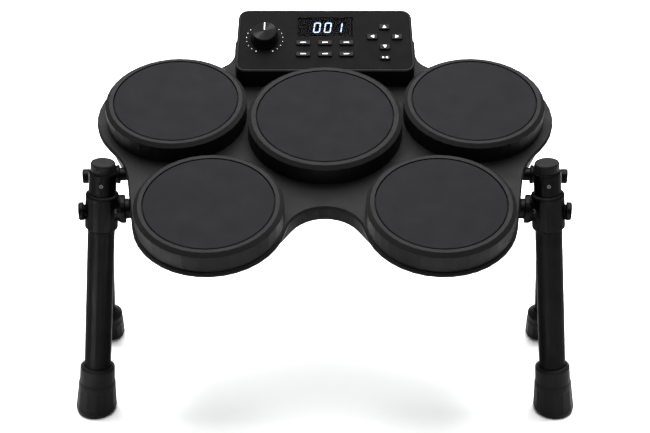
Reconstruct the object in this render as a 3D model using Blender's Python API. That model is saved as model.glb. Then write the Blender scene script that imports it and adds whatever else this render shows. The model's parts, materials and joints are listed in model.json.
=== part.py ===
"""Tabletop electronic drum kit: a tilted deck with five pads, a control module and four adjustable legs.

The deck has a frame of its own: origin midway between the two low pads at the height of their tops,
X to the right, Y up the slope and Z square to the pads. Each leg has a frame on its clamp, with X along
the stub pipe away from the deck and Z up along the tube. All sizes are in metres.
"""
import math

import bmesh
import bpy
from mathutils import Vector

# Placing of the deck
DECK_TILT = math.radians(12.0)
DECK_HEIGHT = 0.3130

# Clearance between pieces that touch
GAP = 0.0003

# Drum pods
LOW_PAD_X = 0.1380
TOP_PAD_X = 0.1894
TOP_PAD_Y = 0.1911
CENTRE_PAD_Y = 0.1584
CENTRE_PAD_RAKE = math.radians(1.5)
SMALL_GROOVE_RADIUS = 0.0790
SMALL_LAND_WIDTH = 0.0056
CENTRE_GROOVE_RADIUS = 0.0862
CENTRE_LAND_WIDTH = 0.0063
POD_BEVEL_WIDTH = 0.0051
POD_BEVEL_DROP = 0.0040
POD_WALL = 0.0025
GROOVE_WIDTH = 0.0014
SURFACE_THICKNESS = 0.0040
SURFACE_EDGE_ROUND = 0.0008
SENSOR_RADIUS = 0.0135
SENSOR_THICKNESS = 0.0024
SENSOR_STEP_WIDTH = 0.0027
SENSOR_STEP = 0.0010

# Deck shells
DECK_TOP = -0.0270
FLANGE_BOTTOM = -0.0322
DECK_BOTTOM = -0.0500
DECK_PLATE = 0.0030
DECK_WALL = 0.0025
FLANGE_EDGE_WIDTH = 0.0020
FLANGE_EDGE_DROP = 0.0025
TUB_CHAMFER = 0.0030
NOTCH_Y = -0.0270
LOW_LOBE_MARGIN = 0.0014
TOP_LOBE_RADIUS = 0.1000
WAIST_X = 0.3362
WAIST_Y = 0.0605
WAIST_RADIUS = 0.0960
SHOULDER_RADIUS = 0.0360
TONGUE_HALF_WIDTH = 0.1190
TONGUE_BACK = 0.3580
TONGUE_CORNER = 0.0120
TUB_LOBE_SETBACK = 0.0130
TUB_LOBE_RADIUS = 0.0900
TUB_TOP_LOBE_RADIUS = 0.0925
TUB_SIDE_INSET = 0.0020
SCREW_WELL_RADIUS = 0.0045
SCREW_WELL_DEPTH = 0.0016
SCREW_INSET = 0.0245
SCREW_BACK_INSET = 0.0170
LOW_SCREW_TURN = math.radians(39.0)
BOSS_RADIUS = 0.0040
BOSS_HEIGHT = 0.0055
BOSS_INSET = 0.0060

# Control module
MODULE_FRONT_Y = 0.2510
MODULE_FACE_Z = -0.0010
MODULE_SLOPE = math.radians(13.0)
MODULE_FACE_LENGTH = 0.1040
MODULE_FRONT_HALF = 0.1170
MODULE_BACK_HALF = 0.1145
MODULE_CORNER = 0.0130
MODULE_FOOT_BACK = 0.0050
MODULE_EDGE = 0.0012
MODULE_RIM = 0.0032
MODULE_LEDGE = 0.0080
MODULE_FRONT_WALL = 0.0090
MODULE_WALL = 0.0027
MODULE_LIP = 0.0025
POD_RELIEF_GAP = 0.0005
FACE_THICKNESS = 0.0020
FACE_EDGE = 0.0004

# What the face carries; U is to the right of its middle and V up from its front edge
KNOB_U = -0.0793
KNOB_V = 0.0545
KNOB_RADIUS = 0.0186
KNOB_TOP_RADIUS = 0.0163
KNOB_HEIGHT = 0.0160
KNOB_SKIRT_HEIGHT = 0.0040
KNOB_CROWN = 0.0040
KNOB_FLUTES = 20
KNOB_FLUTE_DEPTH = 0.0005
KNOB_DISC_THICKNESS = 0.0010
KNOB_DISC_MARGIN = 0.0009
SHAFT_RADIUS = 0.0030
POT_RADIUS = 0.0085
LENS_U = 0.0005
LENS_V = 0.0745
LENS_HALF_U = 0.0364
LENS_HALF_V = 0.0162
LENS_CORNER = 0.0012
LENS_THICKNESS = 0.0016
DIGIT_HALF_U = 0.0270
DIGIT_HALF_V = 0.0120
DIGIT_HEIGHT = 0.0045
FUNCTION_COLUMNS = (-0.0285, 0.0, 0.0280)
FUNCTION_ROWS = (0.0462, 0.0270)
FUNCTION_HALF_U = 0.0092
FUNCTION_HALF_V = 0.0036
ARROW_U = 0.0784
ARROW_V = 0.0563
ARROW_REACH_U = 0.0163
ARROW_REACH_V = 0.0170
ARROW_HALF_U = 0.0068
ARROW_HALF_V = 0.0043
PLAY_V = 0.0210
PLAY_HALF_U = 0.0066
PLAY_HALF_V = 0.0030
BUTTON_RISE = 0.0024
BUTTON_EDGE = 0.0006
BUTTON_CORNER = 0.0014
BUTTON_FLANGE = 0.0010
BUTTON_FLANGE_THICKNESS = 0.0012
BUTTON_GAP = 0.00035
BUTTON_TRAVEL = 0.0007
SWITCH_HALF = 0.0030
BOARD_DEPTH = 0.0085
BOARD_THICKNESS = 0.0016
BOARD_HALF_U = 0.1000
BOARD_MARGIN_V = 0.0110

# Main board in the tub
MAIN_BOARD_HALF_X = 0.0800
MAIN_BOARD_CLEARANCE = 0.0185
MAIN_BOARD_HALF_Y = 0.0300
CHIP_SIZES = ((-0.045, 0.004, 0.011, 0.011), (0.005, -0.006, 0.009, 0.013), (0.048, 0.006, 0.012, 0.007))
CHIP_HEIGHT = 0.0022

# Legs
STUB_ROOT_X = 0.2250
STUB_Z = -0.0386
STUB_YAW = math.radians(5.0)
CLAMP_REACH = 0.0459
SPIGOT_RADIUS = 0.0055
SPIGOT_LENGTH = 0.0230
CUT_REACH = 0.0100
FRONT_LEG = {
    "stub_y": 0.0320,
    "lean": math.radians(-17.35),
    "splay": math.radians(6.25),
    "pipe_radius": 0.0125,
    "tube_radius": 0.0167,
    "tube_wall": 0.0013,
    "tube_rise": 0.0520,
    "sleeve_radius": 0.0203,
    "sleeve_length": 0.0480,
    "sleeve_chamfer": 0.0025,
    "hub_root_radius": 0.0135,
    "hub_radius": 0.0176,
    "hub_end": 0.0289,
    "hub_disc": 0.0060,
    "neck_radius": 0.0082,
    "neck_length": 0.0009,
    "knob_radius": 0.0112,
    "knob_length": 0.0065,
    "foot_height": 0.0670,
    "foot_sole": 0.0226,
    "foot_skirt": 0.0258,
    "foot_shoulder": 0.0233,
    "foot_collar": 0.0219,
    "skirt_low": 0.0074,
    "flute_low": 0.0087,
    "flute_high": 0.0348,
    "band_top": 0.0415,
    "collar_low": 0.0439,
    "cup_floor": 0.0134,
}
REAR_LEG = {
    "stub_y": 0.0955,
    "lean": math.radians(2.75),
    "splay": math.radians(4.25),
    "pipe_radius": 0.0082,
    "tube_radius": 0.0070,
    "tube_wall": 0.0012,
    "tube_rise": 0.0120,
    "sleeve_radius": 0.0118,
    "sleeve_length": 0.0340,
    "sleeve_chamfer": 0.0018,
    "hub_root_radius": 0.0080,
    "hub_radius": 0.0118,
    "hub_end": 0.0165,
    "hub_disc": 0.0030,
    "neck_radius": 0.0062,
    "neck_length": 0.0090,
    "knob_radius": 0.0092,
    "knob_length": 0.0088,
    "foot_height": 0.0520,
    "foot_sole": 0.0168,
    "foot_skirt": 0.0194,
    "foot_shoulder": 0.0176,
    "foot_collar": 0.0164,
    "skirt_low": 0.0057,
    "flute_low": 0.0068,
    "flute_high": 0.0270,
    "band_top": 0.0322,
    "collar_low": 0.0341,
    "cup_floor": 0.0104,
}
SOCKET_WALL = 0.0030
HUB_EDGE = 0.0009
TUBE_EDGE = 0.0004
TUBE_END_GAP = 0.0020
SHANK_CLEARANCE = 0.0010
KNOB_SHANK_RADIUS = 0.0036
KNOB_BACK_ROUND = 0.0006
KNOB_END_ROUND = 0.0012
KNOB_DIMPLE_RADIUS = 0.0030
KNOB_DIMPLE_FLOOR = 0.0018
KNOB_DIMPLE_DEPTH = 0.0012
FOOT_FLUTES = 12
FOOT_FLUTE_DEPTH = 0.0007
FOOT_SOLE_ROUND = (0.0011, 0.0023)
CAP_RISE = 0.0120
CAP_ROUND = 0.0022
CAP_ROUND_STEP = 0.0007
CAP_PLUG_DEPTH = 0.0150

# Fineness of curved outlines and turned pieces
ARC_STEP = math.radians(10.0)
CORNER_STEP = math.radians(22.5)
BUTTON_CORNER_STEP = math.radians(45.0)
POD_SIDES = 40
LEG_SIDES = 18
KNOB_SIDES = 14
SMALL_SIDES = 10


def clear_scene():
    """Remove whatever the file held before."""
    for old in list(bpy.data.objects):
        bpy.data.objects.remove(old, do_unlink=True)


def make_material(name, color, roughness, metallic=0.0):
    """Principled material with one colour."""
    material = bpy.data.materials.new(name)
    material.use_nodes = True
    shader = material.node_tree.nodes["Principled BSDF"]
    shader.inputs["Base Color"].default_value = (*color, 1.0)
    shader.inputs["Roughness"].default_value = roughness
    shader.inputs["Metallic"].default_value = metallic
    return material


def make_empty(name, parent=None, location=(0.0, 0.0, 0.0), rotation=(0.0, 0.0, 0.0)):
    """Named empty that carries other pieces."""
    empty = bpy.data.objects.new(name, None)
    bpy.context.collection.objects.link(empty)
    empty.parent = parent
    empty.location = location
    empty.rotation_euler = rotation
    return empty


def make_object(name, mesh, material, parent, location=(0.0, 0.0, 0.0), rotation=(0.0, 0.0, 0.0)):
    """Named object around a mesh, smooth where its faces turn gently."""
    if material is not None:
        mesh.materials.append(material)
    mesh.shade_smooth()
    mesh.set_sharp_from_angle(angle=math.radians(28.0))
    piece = bpy.data.objects.new(name, mesh)
    bpy.context.collection.objects.link(piece)
    piece.parent = parent
    piece.location = location
    piece.rotation_euler = rotation
    return piece


def skin_mesh(name, loops, ring=False):
    """Closed mesh over loops with the same number of points, capped at both ends unless it is a ring."""
    bm = bmesh.new()
    rows = [[bm.verts.new(point) for point in loop] for loop in loops]
    size = len(rows[0])
    last = len(rows) if ring else len(rows) - 1
    for index in range(last):
        low = rows[index]
        high = rows[(index + 1) % len(rows)]
        for i in range(size):
            j = (i + 1) % size
            bm.faces.new((low[i], low[j], high[j], high[i]))
    if not ring:
        bm.faces.new(list(reversed(rows[0])))
        bm.faces.new(rows[-1])
    bmesh.ops.recalc_face_normals(bm, faces=bm.faces)
    mesh = bpy.data.meshes.new(name)
    bm.to_mesh(mesh)
    bm.free()
    return mesh


def circle(radius, z, sides, center=(0.0, 0.0)):
    """Points of a circle at height z."""
    angles = [2.0 * math.pi * i / sides for i in range(sides)]
    return [(center[0] + radius * math.cos(a), center[1] + radius * math.sin(a), z) for a in angles]


def turned_mesh(name, profile, sides, ring=False):
    """Mesh turned round Z from (radius, height) points that climb the outer side first."""
    return skin_mesh(name, [circle(radius, z, sides) for radius, z in profile], ring)


def hide_tool(tool):
    """Mark an object as a construction aid and not a piece."""
    tool.hide_render = True
    tool.display_type = "WIRE"
    return tool


def turned_tool(name, profile, sides, parent, location=(0.0, 0.0, 0.0), rotation=(0.0, 0.0, 0.0)):
    """Turned construction aid."""
    mesh = turned_mesh(name, profile, sides)
    return hide_tool(make_object(name, mesh, None, parent, location, rotation))


def combine(piece, tool, operation):
    """Boolean of a piece with a construction aid."""
    modifier = piece.modifiers.new(tool.name, "BOOLEAN")
    modifier.operation = operation
    modifier.solver = "EXACT"
    modifier.object = tool


def belt(circles, grow=0.0, step=ARC_STEP):
    """Closed outline of arcs joined by common tangents, counter-clockwise from above.

    Each circle is (x, y, radius, side): side 1 bulges outward and side -1 is a bay in the outline.
    """
    normals = []
    for i, (x, y, radius, side) in enumerate(circles):
        next_x, next_y, next_radius, next_side = circles[(i + 1) % len(circles)]
        reach = math.hypot(next_x - x, next_y - y)
        heading = math.atan2(next_y - y, next_x - x)
        cosine = (side * radius - next_side * next_radius) / reach
        normals.append(heading - math.acos(max(-1.0, min(1.0, cosine))))
    points = []
    for i, (x, y, radius, side) in enumerate(circles):
        turn = side * ((side * (normals[i] - normals[i - 1])) % (2.0 * math.pi))
        pieces = max(1, math.ceil(abs(turn) / step))
        reach = side * (radius + side * grow)
        for k in range(pieces + 1):
            angle = normals[i - 1] + turn * k / pieces
            point = Vector((x + reach * math.cos(angle), y + reach * math.sin(angle)))
            if not points or (point - points[-1]).length > 1e-6:
                points.append(point)
    if (points[0] - points[-1]).length < 1e-6:
        points.pop()
    return points


def both_sides(right, front=()):
    """Full list of outline circles from those of the right half, with any circle on the front midline."""
    left = [(-x, y, radius, side) for x, y, radius, side in reversed(right)]
    return list(front) + right + left


def level(points, z):
    """Outline points at one height."""
    return [(point.x, point.y, z) for point in points]


def rounded_rectangle(center, half_u, half_v, corner, grow=0.0):
    """Rounded rectangle with its corners as quarter circles."""
    right = [
        (half_u - corner, corner - half_v, corner, 1),
        (half_u - corner, half_v - corner, corner, 1),
    ]
    outline = belt(both_sides(right), grow, BUTTON_CORNER_STEP)
    return [Vector((point.x + center[0], point.y + center[1])) for point in outline]


# Drum pods

def pod_places():
    """Name, place, rake and sizes of each pod."""
    small = (SMALL_GROOVE_RADIUS, SMALL_LAND_WIDTH)
    large = (CENTRE_GROOVE_RADIUS, CENTRE_LAND_WIDTH)
    return [
        ("low_left", -LOW_PAD_X, 0.0, 0.0, *small),
        ("low_right", LOW_PAD_X, 0.0, 0.0, *small),
        ("top_left", -TOP_PAD_X, TOP_PAD_Y, 0.0, *small),
        ("top_right", TOP_PAD_X, TOP_PAD_Y, 0.0, *small),
        ("centre", 0.0, CENTRE_PAD_Y, CENTRE_PAD_RAKE, *large),
    ]


def pod_radius(groove, land):
    """Outer radius of a pod's wall."""
    return groove + land + POD_BEVEL_WIDTH


def pod_lift(radius, rake):
    """Height of a raked pod's middle, with its front edge level with the others."""
    return radius * math.sin(rake)


def seat_ring(radius, lift, rake, sides):
    """Circle of a pod's wall where it meets the deck, in the pod's own raked frame."""
    ring = []
    for x, y, _ in circle(radius, 0.0, sides):
        drop = DECK_TOP + GAP - lift - y * math.sin(rake)
        ring.append((x, y, drop / math.cos(rake)))
    return ring


def add_pods(deck, materials):
    """Ring, playing surface and strike sensor of each pod."""
    for name, x, y, rake, groove, land in pod_places():
        radius = pod_radius(groove, land)
        lift = pod_lift(radius, rake)
        place = {"location": (x, y, lift), "rotation": (rake, 0.0, 0.0)}
        mouth = groove + GROOVE_WIDTH / 2.0
        floor = -SURFACE_THICKNESS - GAP
        ceiling = floor - POD_WALL
        loops = [
            circle(radius - POD_WALL, ceiling, POD_SIDES),
            seat_ring(radius - POD_WALL, lift, rake, POD_SIDES),
            seat_ring(radius, lift, rake, POD_SIDES),
            circle(radius, -POD_BEVEL_DROP, POD_SIDES),
            circle(radius - POD_BEVEL_WIDTH, 0.0, POD_SIDES),
            circle(mouth, 0.0, POD_SIDES),
            circle(mouth, floor, POD_SIDES),
        ]
        make_object(f"pod_{name}", skin_mesh(f"pod_{name}", loops), materials["housing"], deck, **place)
        edge = groove - GROOVE_WIDTH / 2.0
        surface = [
            (edge, -SURFACE_THICKNESS),
            (edge, -SURFACE_EDGE_ROUND),
            (edge - SURFACE_EDGE_ROUND, 0.0),
        ]
        mesh = turned_mesh(f"surface_{name}", surface, POD_SIDES)
        make_object(f"surface_{name}", mesh, materials["pad_rubber"], deck, **place)
        sensor_top = ceiling - GAP
        sensor = [
            (SENSOR_RADIUS - SENSOR_STEP_WIDTH, sensor_top - SENSOR_THICKNESS),
            (SENSOR_RADIUS, sensor_top - SENSOR_THICKNESS + SENSOR_STEP),
            (SENSOR_RADIUS, sensor_top),
        ]
        mesh = turned_mesh(f"sensor_{name}", sensor, SMALL_SIDES)
        make_object(f"sensor_{name}", mesh, materials["brass"], deck, **place)


# Deck

def low_lobe_radius():
    """Radius of the deck's edge round a low pod."""
    return pod_radius(SMALL_GROOVE_RADIUS, SMALL_LAND_WIDTH) + LOW_LOBE_MARGIN


def shoulder_circle(lobe_radius, radius, tongue):
    """Bay that joins a top lobe to the tongue under the module, touching both."""
    x = tongue + radius
    rise = math.sqrt((lobe_radius + radius) ** 2 - (TOP_PAD_X - x) ** 2)
    return (x, TOP_PAD_Y + rise, radius, -1)


def tongue_corner(tongue, back):
    """Back corner of the tongue under the module."""
    return (tongue - TONGUE_CORNER, back - TONGUE_CORNER, TONGUE_CORNER, 1)


def flange_circles():
    """Outline of the deck's top surface."""
    notch_radius = math.hypot(LOW_PAD_X, NOTCH_Y) - low_lobe_radius()
    right = [
        (LOW_PAD_X, 0.0, low_lobe_radius(), 1),
        (WAIST_X, WAIST_Y, WAIST_RADIUS, -1),
        (TOP_PAD_X, TOP_PAD_Y, TOP_LOBE_RADIUS, 1),
        shoulder_circle(TOP_LOBE_RADIUS, SHOULDER_RADIUS, TONGUE_HALF_WIDTH),
        tongue_corner(TONGUE_HALF_WIDTH, TONGUE_BACK),
    ]
    return both_sides(right, [(0.0, NOTCH_Y, notch_radius, -1)])


def tub_circles():
    """Outline of the tub: flush in the notch and at the waists, and drawn in under the pads."""
    notch_radius = math.hypot(LOW_PAD_X, NOTCH_Y) - low_lobe_radius() - FLANGE_EDGE_WIDTH
    tongue = TONGUE_HALF_WIDTH - TUB_SIDE_INSET
    right = [
        (LOW_PAD_X, TUB_LOBE_SETBACK, TUB_LOBE_RADIUS, 1),
        (WAIST_X, WAIST_Y, WAIST_RADIUS - FLANGE_EDGE_WIDTH + TUB_SIDE_INSET, -1),
        (TOP_PAD_X, TOP_PAD_Y, TUB_TOP_LOBE_RADIUS, 1),
        shoulder_circle(TUB_TOP_LOBE_RADIUS, SHOULDER_RADIUS, tongue),
        tongue_corner(tongue, TONGUE_BACK - TUB_SIDE_INSET),
    ]
    return both_sides(right, [(0.0, NOTCH_Y, notch_radius, -1)])


def add_deck_top(deck, materials):
    """Top shell: a plate with a rounded edge and a short lip that laps the tub."""
    outline = flange_circles()
    outer = FLANGE_EDGE_WIDTH
    inner = FLANGE_EDGE_WIDTH - DECK_WALL
    loops = [
        level(belt(outline, inner), DECK_TOP - DECK_PLATE),
        level(belt(outline, inner), FLANGE_BOTTOM),
        level(belt(outline, outer), FLANGE_BOTTOM),
        level(belt(outline, outer), DECK_TOP - FLANGE_EDGE_DROP),
        level(belt(outline, 0.0), DECK_TOP),
    ]
    return make_object("deck_top_shell", skin_mesh("deck_top_shell", loops), materials["housing"], deck)


def main_board_y():
    """Middle of the main board, which lies in front of the tub's back wall."""
    back_wall = TONGUE_BACK - TUB_SIDE_INSET - DECK_WALL
    return back_wall - MAIN_BOARD_CLEARANCE - MAIN_BOARD_HALF_Y


def boss_places():
    """Where the tub has a boss for a screw of the main board."""
    reach_x = MAIN_BOARD_HALF_X - BOSS_INSET
    reach_y = MAIN_BOARD_HALF_Y - BOSS_INSET
    return [(x, main_board_y() + y) for x in (-reach_x, reach_x) for y in (-reach_y, reach_y)]


def screw_places():
    """Where the tub is screwed to the top shell from below."""
    low_reach = TUB_LOBE_RADIUS - SCREW_INSET
    top_reach = TUB_TOP_LOBE_RADIUS - SCREW_INSET
    turn_x = low_reach * math.cos(LOW_SCREW_TURN)
    turn_y = low_reach * math.sin(LOW_SCREW_TURN)
    right = [
        (LOW_PAD_X, TUB_LOBE_SETBACK - low_reach),
        (LOW_PAD_X + turn_x, TUB_LOBE_SETBACK + turn_y),
        (TOP_PAD_X + top_reach, TOP_PAD_Y),
        (TOP_PAD_X, TOP_PAD_Y + top_reach),
        (TONGUE_HALF_WIDTH - SCREW_INSET, TONGUE_BACK - SCREW_BACK_INSET),
    ]
    middle = [(0.0, CENTRE_PAD_Y - CENTRE_GROOVE_RADIUS)]
    return right + [(-x, y) for x, y in right] + middle


def add_deck_bottom(deck, materials):
    """Tub with a chamfered bottom edge, screw wells below and bosses inside."""
    outline = tub_circles()
    floor = DECK_BOTTOM + DECK_WALL
    rim = FLANGE_BOTTOM - GAP
    loops = [
        level(belt(outline, -DECK_WALL), floor),
        level(belt(outline, -DECK_WALL), rim),
        level(belt(outline, 0.0), rim),
        level(belt(outline, 0.0), DECK_BOTTOM + TUB_CHAMFER),
        level(belt(outline, -TUB_CHAMFER), DECK_BOTTOM),
    ]
    mesh = skin_mesh("deck_bottom_shell", loops)
    tub = make_object("deck_bottom_shell", mesh, materials["housing"], deck)
    for index, (x, y) in enumerate(screw_places()):
        well = [(SCREW_WELL_RADIUS, -SCREW_WELL_DEPTH), (SCREW_WELL_RADIUS, SCREW_WELL_DEPTH)]
        tool = turned_tool(f"screw_well_{index}", well, SMALL_SIDES, deck, (x, y, DECK_BOTTOM))
        combine(tub, tool, "DIFFERENCE")
    for index, (x, y) in enumerate(boss_places()):
        boss = [(BOSS_RADIUS, -DECK_WALL / 2.0), (BOSS_RADIUS, BOSS_HEIGHT)]
        tool = turned_tool(f"board_boss_{index}", boss, SMALL_SIDES, deck, (x, y, floor))
        combine(tub, tool, "UNION")
    return tub


def box_mesh(name, center, half, low, high):
    """Upright box with a rectangular plan."""
    x, y = center
    hx, hy = half
    plan = [(x - hx, y - hy), (x + hx, y - hy), (x + hx, y + hy), (x - hx, y + hy)]
    return skin_mesh(name, [[(px, py, z) for px, py in plan] for z in (low, high)])


def add_main_board(deck, materials):
    """Main circuit board on the tub's bosses, with its chips."""
    low = DECK_BOTTOM + DECK_WALL + BOSS_HEIGHT + GAP
    high = low + BOARD_THICKNESS
    half = (MAIN_BOARD_HALF_X, MAIN_BOARD_HALF_Y)
    mesh = box_mesh("main_board", (0.0, main_board_y()), half, low, high)
    board = make_object("main_board", mesh, materials["board"], deck)
    for index, (x, y, half_x, half_y) in enumerate(CHIP_SIZES):
        center = (x, main_board_y() + y)
        root = low + BOARD_THICKNESS / 2.0
        mesh = box_mesh(f"chip_{index}", center, (half_x, half_y), root, high + CHIP_HEIGHT)
        combine(board, hide_tool(make_object(f"chip_{index}", mesh, None, deck)), "UNION")


# Control module

def face_height(y):
    """Height of the module's face plane over the deck's frame."""
    return MODULE_FACE_Z + (y - MODULE_FRONT_Y) * math.tan(MODULE_SLOPE)


def module_plan(grow, front=0.0, back=0.0):
    """Plan outline of the module: two straight sides that draw in to the back, with round corners."""
    depth = MODULE_FACE_LENGTH * math.cos(MODULE_SLOPE)
    corner = MODULE_CORNER
    right = [
        (MODULE_FRONT_HALF - corner, MODULE_FRONT_Y + corner + front, corner, 1),
        (MODULE_BACK_HALF - corner, MODULE_FRONT_Y + depth - corner + back, corner, 1),
    ]
    return belt(both_sides(right), grow, CORNER_STEP)


def on_face(points, depth):
    """Outline points laid on the plane at a depth below the face."""
    drop = depth / math.cos(MODULE_SLOPE)
    return [(point.x, point.y, face_height(point.y) - drop) for point in points]


def add_module_case(deck, materials, relief):
    """Open wedge with a rim and a ledge for the face plate, relieved for the centre pod."""
    seat = FACE_THICKNESS + GAP
    inner_front = MODULE_FRONT_WALL - MODULE_WALL
    foot = DECK_TOP + GAP
    loops = [
        level(module_plan(0.0, 0.0, MODULE_FOOT_BACK), foot),
        on_face(module_plan(0.0), MODULE_EDGE),
        on_face(module_plan(-MODULE_EDGE), 0.0),
        on_face(module_plan(-MODULE_RIM), 0.0),
        on_face(module_plan(-MODULE_RIM), seat),
        on_face(module_plan(-MODULE_LEDGE, inner_front), seat),
        on_face(module_plan(-MODULE_LEDGE, inner_front), seat + MODULE_LIP),
        on_face(module_plan(-MODULE_WALL, inner_front), seat + MODULE_LIP),
        level(module_plan(-MODULE_WALL, inner_front, MODULE_FOOT_BACK), foot),
    ]
    mesh = skin_mesh("module_case", loops, ring=True)
    case = make_object("module_case", mesh, materials["housing"], deck)
    combine(case, relief, "DIFFERENCE")
    return case


def button_places():
    """Name, middle and half sizes of each button on the face."""
    places = []
    for row, v in enumerate(FUNCTION_ROWS):
        for column, u in enumerate(FUNCTION_COLUMNS):
            name = f"button_function_{row * len(FUNCTION_COLUMNS) + column + 1}"
            places.append((name, u, v, FUNCTION_HALF_U, FUNCTION_HALF_V))
    arrows = [("up", 0, 1), ("down", 0, -1), ("left", -1, 0), ("right", 1, 0)]
    for name, across, along in arrows:
        u = ARROW_U + across * ARROW_REACH_U
        v = ARROW_V + along * ARROW_REACH_V
        places.append((f"button_{name}", u, v, ARROW_HALF_U, ARROW_HALF_V))
    places.append(("button_play", ARROW_U, PLAY_V, PLAY_HALF_U, PLAY_HALF_V))
    return places


def prism_tool(name, outline, low, high, parent):
    """Straight-sided construction aid over an outline."""
    mesh = skin_mesh(name, [level(outline, low), level(outline, high)])
    return hide_tool(make_object(name, mesh, None, parent))


def add_module_face(deck, face, materials, relief):
    """Face plate with openings for the buttons, the display window and the knob's shaft."""
    clear = MODULE_RIM + GAP
    loops = [
        on_face(module_plan(-clear), FACE_THICKNESS),
        on_face(module_plan(-clear), FACE_EDGE),
        on_face(module_plan(-clear - FACE_EDGE), 0.0),
    ]
    plate = make_object("module_face", skin_mesh("module_face", loops), materials["face"], deck)
    combine(plate, relief, "DIFFERENCE")
    reach = FACE_THICKNESS * 2.0
    for name, u, v, half_u, half_v in button_places():
        outline = rounded_rectangle((u, v), half_u, half_v, BUTTON_CORNER, BUTTON_GAP)
        combine(plate, prism_tool(f"{name}_opening", outline, -reach, reach, face), "DIFFERENCE")
    window = rounded_rectangle((LENS_U, LENS_V), LENS_HALF_U, LENS_HALF_V, LENS_CORNER, GAP)
    combine(plate, prism_tool("window_opening", window, -reach, reach, face), "DIFFERENCE")
    shaft = [(SHAFT_RADIUS + GAP * 2.0, -reach), (SHAFT_RADIUS + GAP * 2.0, reach)]
    tool = turned_tool("shaft_opening", shaft, LEG_SIDES, face, (KNOB_U, KNOB_V, 0.0))
    combine(plate, tool, "DIFFERENCE")


def add_buttons(face, materials):
    """Each button with a flange that keeps it under the face plate."""
    under = -FACE_THICKNESS - BUTTON_GAP
    bottom = under - BUTTON_FLANGE_THICKNESS
    for name, u, v, half_u, half_v in button_places():
        def outline(grow):
            return rounded_rectangle((0.0, 0.0), half_u, half_v, BUTTON_CORNER, grow)

        loops = [
            level(outline(BUTTON_FLANGE), bottom),
            level(outline(BUTTON_FLANGE), under),
            level(outline(0.0), under),
            level(outline(0.0), BUTTON_RISE - BUTTON_EDGE),
            level(outline(-BUTTON_EDGE), BUTTON_RISE),
        ]
        make_object(name, skin_mesh(name, loops), materials["button"], face, (u, v, 0.0))


def add_display(face, materials):
    """Window in the face plate and the digit display behind it."""
    outline = rounded_rectangle((0.0, 0.0), LENS_HALF_U, LENS_HALF_V, LENS_CORNER)
    loops = [
        level(outline, -FACE_THICKNESS),
        level(outline, LENS_THICKNESS - FACE_THICKNESS),
    ]
    place = (LENS_U, LENS_V, 0.0)
    make_object("display_lens", skin_mesh("display_lens", loops), materials["lens"], face, place)
    top = -FACE_THICKNESS - GAP * 2.0
    low = -BOARD_DEPTH + GAP
    high = min(top, low + DIGIT_HEIGHT)
    mesh = box_mesh("digit_display", (0.0, 0.0), (DIGIT_HALF_U, DIGIT_HALF_V), low, high)
    make_object("digit_display", mesh, materials["dark"], face, place)


def add_key_board(face, materials):
    """Board under the face plate, with a switch below each button."""
    top = -BOARD_DEPTH
    middle = MODULE_FACE_LENGTH / 2.0
    half = (BOARD_HALF_U, middle - BOARD_MARGIN_V)
    mesh = box_mesh("key_board", (0.0, middle), half, top - BOARD_THICKNESS, top)
    board = make_object("key_board", mesh, materials["board"], face)
    bottom = -FACE_THICKNESS - BUTTON_GAP - BUTTON_FLANGE_THICKNESS
    switch_top = bottom - BUTTON_TRAVEL - BUTTON_GAP
    root = top - BOARD_THICKNESS / 2.0
    for name, u, v, _, half_v in button_places():
        size = min(SWITCH_HALF, half_v)
        mesh = box_mesh(f"{name}_switch", (u, v), (size, size), root, switch_top)
        combine(board, hide_tool(make_object(f"{name}_switch", mesh, None, face)), "UNION")


def fluted_circle(radius, depth, z, flutes):
    """Circle whose points alternate between the full radius and the bottom of a flute."""
    points = []
    for index, (x, y, height) in enumerate(circle(1.0, z, flutes * 2)):
        cut = depth if index % 2 else 0.0
        points.append((x * (radius - cut), y * (radius - cut), height))
    return points


def add_volume_knob(face, materials):
    """Fluted knob with a bright disc let into its top, on the potentiometer's shaft."""
    place = (KNOB_U, KNOB_V, 0.0)
    bore = SHAFT_RADIUS + GAP
    disc = KNOB_TOP_RADIUS - KNOB_DISC_MARGIN
    pocket = KNOB_HEIGHT - KNOB_DISC_THICKNESS - GAP
    shaft_top = KNOB_HEIGHT - KNOB_CROWN
    shoulder = KNOB_HEIGHT - KNOB_DISC_MARGIN
    sides = KNOB_FLUTES * 2

    def fluted(radius, z):
        return fluted_circle(radius, KNOB_FLUTE_DEPTH, z, KNOB_FLUTES)

    loops = [
        circle(bore, shaft_top, sides),
        circle(bore, GAP * 2.0, sides),
        circle(KNOB_RADIUS - KNOB_FLUTE_DEPTH, GAP * 2.0, sides),
        circle(KNOB_RADIUS, GAP * 4.0, sides),
        circle(KNOB_RADIUS, KNOB_SKIRT_HEIGHT / 2.0, sides),
        fluted(KNOB_RADIUS - KNOB_FLUTE_DEPTH, KNOB_SKIRT_HEIGHT),
        fluted(KNOB_TOP_RADIUS + KNOB_FLUTE_DEPTH, shoulder - KNOB_DISC_MARGIN),
        circle(KNOB_TOP_RADIUS, shoulder, sides),
        circle(disc + GAP * 2.0, KNOB_HEIGHT, sides),
        circle(disc + GAP, pocket, sides),
    ]
    make_object("volume_knob", skin_mesh("volume_knob", loops), materials["knob"], face, place)
    disc_profile = [(disc, pocket + GAP), (disc, KNOB_HEIGHT)]
    mesh = turned_mesh("volume_knob_disc", disc_profile, sides)
    make_object("volume_knob_disc", mesh, materials["bright_metal"], face, place)
    pot = [
        (POT_RADIUS, GAP - BOARD_DEPTH),
        (POT_RADIUS, -FACE_THICKNESS - GAP),
        (SHAFT_RADIUS, -FACE_THICKNESS - GAP),
        (SHAFT_RADIUS, shaft_top - GAP),
    ]
    mesh = turned_mesh("potentiometer", pot, LEG_SIDES)
    make_object("potentiometer", mesh, materials["bright_metal"], face, place)


# Legs

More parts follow.
